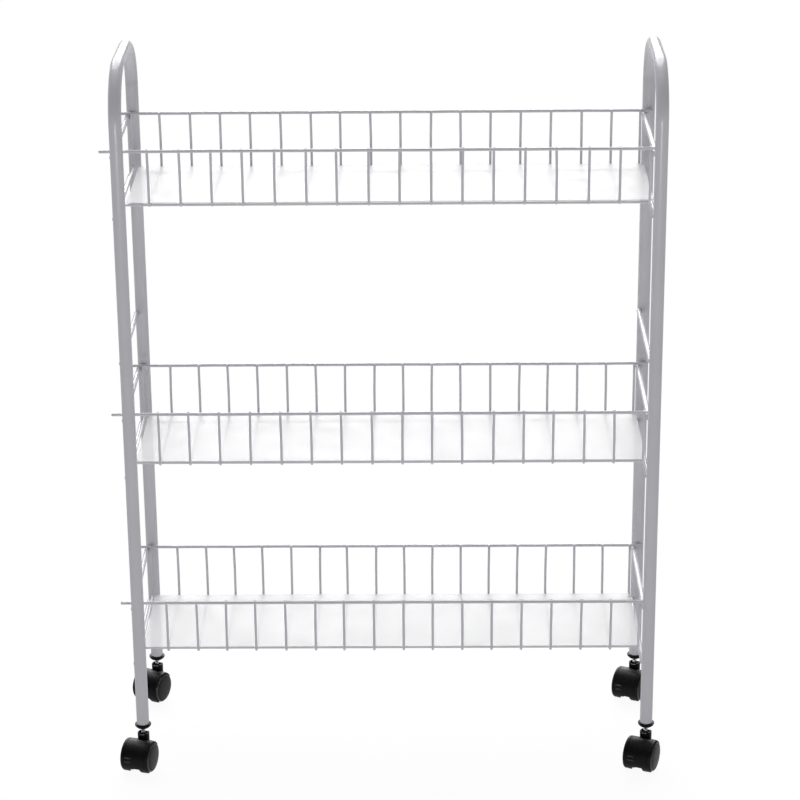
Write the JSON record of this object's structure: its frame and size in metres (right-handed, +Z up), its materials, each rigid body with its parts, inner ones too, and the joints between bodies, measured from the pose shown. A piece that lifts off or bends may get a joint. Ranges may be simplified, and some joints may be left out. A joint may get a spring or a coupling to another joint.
{
  "type": "rolling pantry cart",
  "caption": "Slim wheeled storage cart: bent-tube side frames with arched handles carry long wire baskets with plastic liners, on twin-wheel swivel casters.",
  "frame": {"origin": "centre of the cart's box, on the floor that its wheels stand on", "axes": "+X along the cart towards its right end, +Y from the front to the back, +Z up"},
  "size_m": [0.5572, 0.1988, 0.7353],
  "materials": {
    "white_coat": "smooth semi-gloss white powder coat",
    "white_liner": "satin white polypropylene sheet",
    "black_plastic": "fine-grained black moulding",
    "wheel_black": "satin dark grey-black moulding",
    "plated_steel": "bright zinc-plated steel"
  },
  "bodies": {
    "cart_frame": {"left_side_frame": "white_coat", "right_side_frame": "white_coat", "top_basket": "white_coat", "middle_basket": "white_coat", "bottom_basket": "white_coat", "top_liner": "white_liner", "middle_liner": "white_liner", "bottom_liner": "white_liner", "front_left_tube_insert": "black_plastic", "front_right_tube_insert": "black_plastic", "rear_left_tube_insert": "black_plastic", "rear_right_tube_insert": "black_plastic", "front_left_stem": "plated_steel", "front_right_stem": "plated_steel", "rear_left_stem": "plated_steel", "rear_right_stem": "plated_steel"},
    "front_left_caster": {"front_left_hood": "black_plastic", "front_left_axle": "plated_steel"},
    "front_left_left_wheel": {"front_left_left_wheel": "wheel_black"},
    "front_left_right_wheel": {"front_left_right_wheel": "wheel_black"},
    "front_right_caster": {"front_right_hood": "black_plastic", "front_right_axle": "plated_steel"},
    "front_right_left_wheel": {"front_right_left_wheel": "wheel_black"},
    "front_right_right_wheel": {"front_right_right_wheel": "wheel_black"},
    "rear_left_caster": {"rear_left_hood": "black_plastic", "rear_left_axle": "plated_steel"},
    "rear_left_left_wheel": {"rear_left_left_wheel": "wheel_black"},
    "rear_left_right_wheel": {"rear_left_right_wheel": "wheel_black"},
    "rear_right_caster": {"rear_right_hood": "black_plastic", "rear_right_axle": "plated_steel"},
    "rear_right_left_wheel": {"rear_right_left_wheel": "wheel_black"},
    "rear_right_right_wheel": {"rear_right_right_wheel": "wheel_black"}
  },
  "joints": [
    {"name": "front_left_swivel", "type": "hinge", "parent": "cart_frame", "child": "front_left_caster", "pos_m": [-0.25238, -0.06646, 0.0362], "axis": [0, 0, 1], "continuous": true},
    {"name": "front_left_left_wheel_spin", "type": "hinge", "parent": "front_left_caster", "child": "front_left_left_wheel", "pos_m": [-0.25604, -0.07841, 0.0153], "axis": [0.9563, -0.2924, 0], "continuous": true},
    {"name": "front_left_right_wheel_spin", "type": "hinge", "parent": "front_left_caster", "child": "front_left_right_wheel", "pos_m": [-0.25604, -0.07841, 0.0153], "axis": [0.9563, -0.2924, 0], "continuous": true},
    {"name": "front_right_swivel", "type": "hinge", "parent": "cart_frame", "child": "front_right_caster", "pos_m": [0.26362, -0.06646, 0.0362], "axis": [0, 0, 1], "continuous": true},
    {"name": "front_right_left_wheel_spin", "type": "hinge", "parent": "front_right_caster", "child": "front_right_left_wheel", "pos_m": [0.25873, -0.07796, 0.0153], "axis": [0.9205, -0.3907, 0], "continuous": true},
    {"name": "front_right_right_wheel_spin", "type": "hinge", "parent": "front_right_caster", "child": "front_right_right_wheel", "pos_m": [0.25873, -0.07796, 0.0153], "axis": [0.9205, -0.3907, 0], "continuous": true},
    {"name": "rear_left_swivel", "type": "hinge", "parent": "cart_frame", "child": "rear_left_caster", "pos_m": [-0.25238, 0.09054, 0.0362], "axis": [0, 0, 1], "continuous": true},
    {"name": "rear_left_left_wheel_spin", "type": "hinge", "parent": "rear_left_caster", "child": "rear_left_left_wheel", "pos_m": [-0.25786, 0.07931, 0.0153], "axis": [0.8988, -0.4384, 0], "continuous": true},
    {"name": "rear_left_right_wheel_spin", "type": "hinge", "parent": "rear_left_caster", "child": "rear_left_right_wheel", "pos_m": [-0.25786, 0.07931, 0.0153], "axis": [0.8988, -0.4384, 0], "continuous": true},
    {"name": "rear_right_swivel", "type": "hinge", "parent": "cart_frame", "child": "rear_right_caster", "pos_m": [0.26362, 0.09054, 0.0362], "axis": [0, 0, 1], "continuous": true},
    {"name": "rear_right_left_wheel_spin", "type": "hinge", "parent": "rear_right_caster", "child": "rear_right_left_wheel", "pos_m": [0.25814, 0.07931, 0.0153], "axis": [0.8988, -0.4384, 0], "continuous": true},
    {"name": "rear_right_right_wheel_spin", "type": "hinge", "parent": "rear_right_caster", "child": "rear_right_right_wheel", "pos_m": [0.25814, 0.07931, 0.0153], "axis": [0.8988, -0.4384, 0], "continuous": true}
  ]
}
